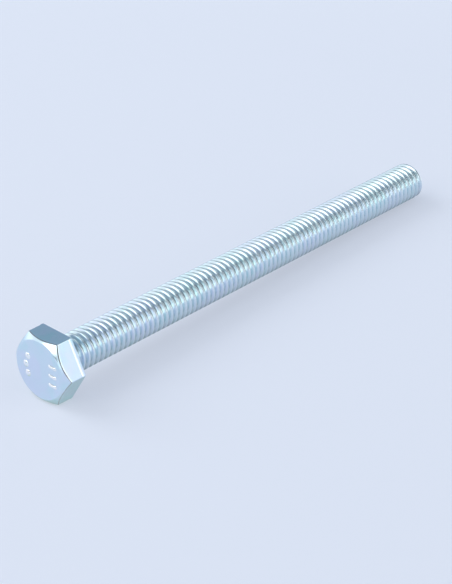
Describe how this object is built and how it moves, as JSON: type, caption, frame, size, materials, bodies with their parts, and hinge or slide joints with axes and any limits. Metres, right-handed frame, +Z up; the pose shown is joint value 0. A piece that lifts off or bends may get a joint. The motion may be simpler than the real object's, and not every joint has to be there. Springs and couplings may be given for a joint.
{
  "type": "hex bolt",
  "caption": "Hexagon head bolt with a long, fully threaded shank, a washer face under the head and a chamfered tip; it clamps parts with a nut or a tapped hole.",
  "frame": {"origin": "centre of the bearing face under the head, on the bolt's axis", "axes": "+X along the shank to the tip; +Z up, square to two flats of the head, so that the bolt lies on a flat; +Y to the side, towards the pip marks"},
  "size_m": [0.0842, 0.0116, 0.01],
  "materials": {
    "zinc_plated_steel": "bright blue-white zinc plating on cold-forged, thread-rolled steel"
  },
  "bodies": {
    "root": {"hex_head": "zinc_plated_steel", "pip_marks": "zinc_plated_steel", "bar_marks": "zinc_plated_steel", "washer_face": "zinc_plated_steel", "neck": "zinc_plated_steel", "thread_core": "zinc_plated_steel", "thread_ridge": "zinc_plated_steel", "chamfered_tip": "zinc_plated_steel"}
  },
  "joints": []
}
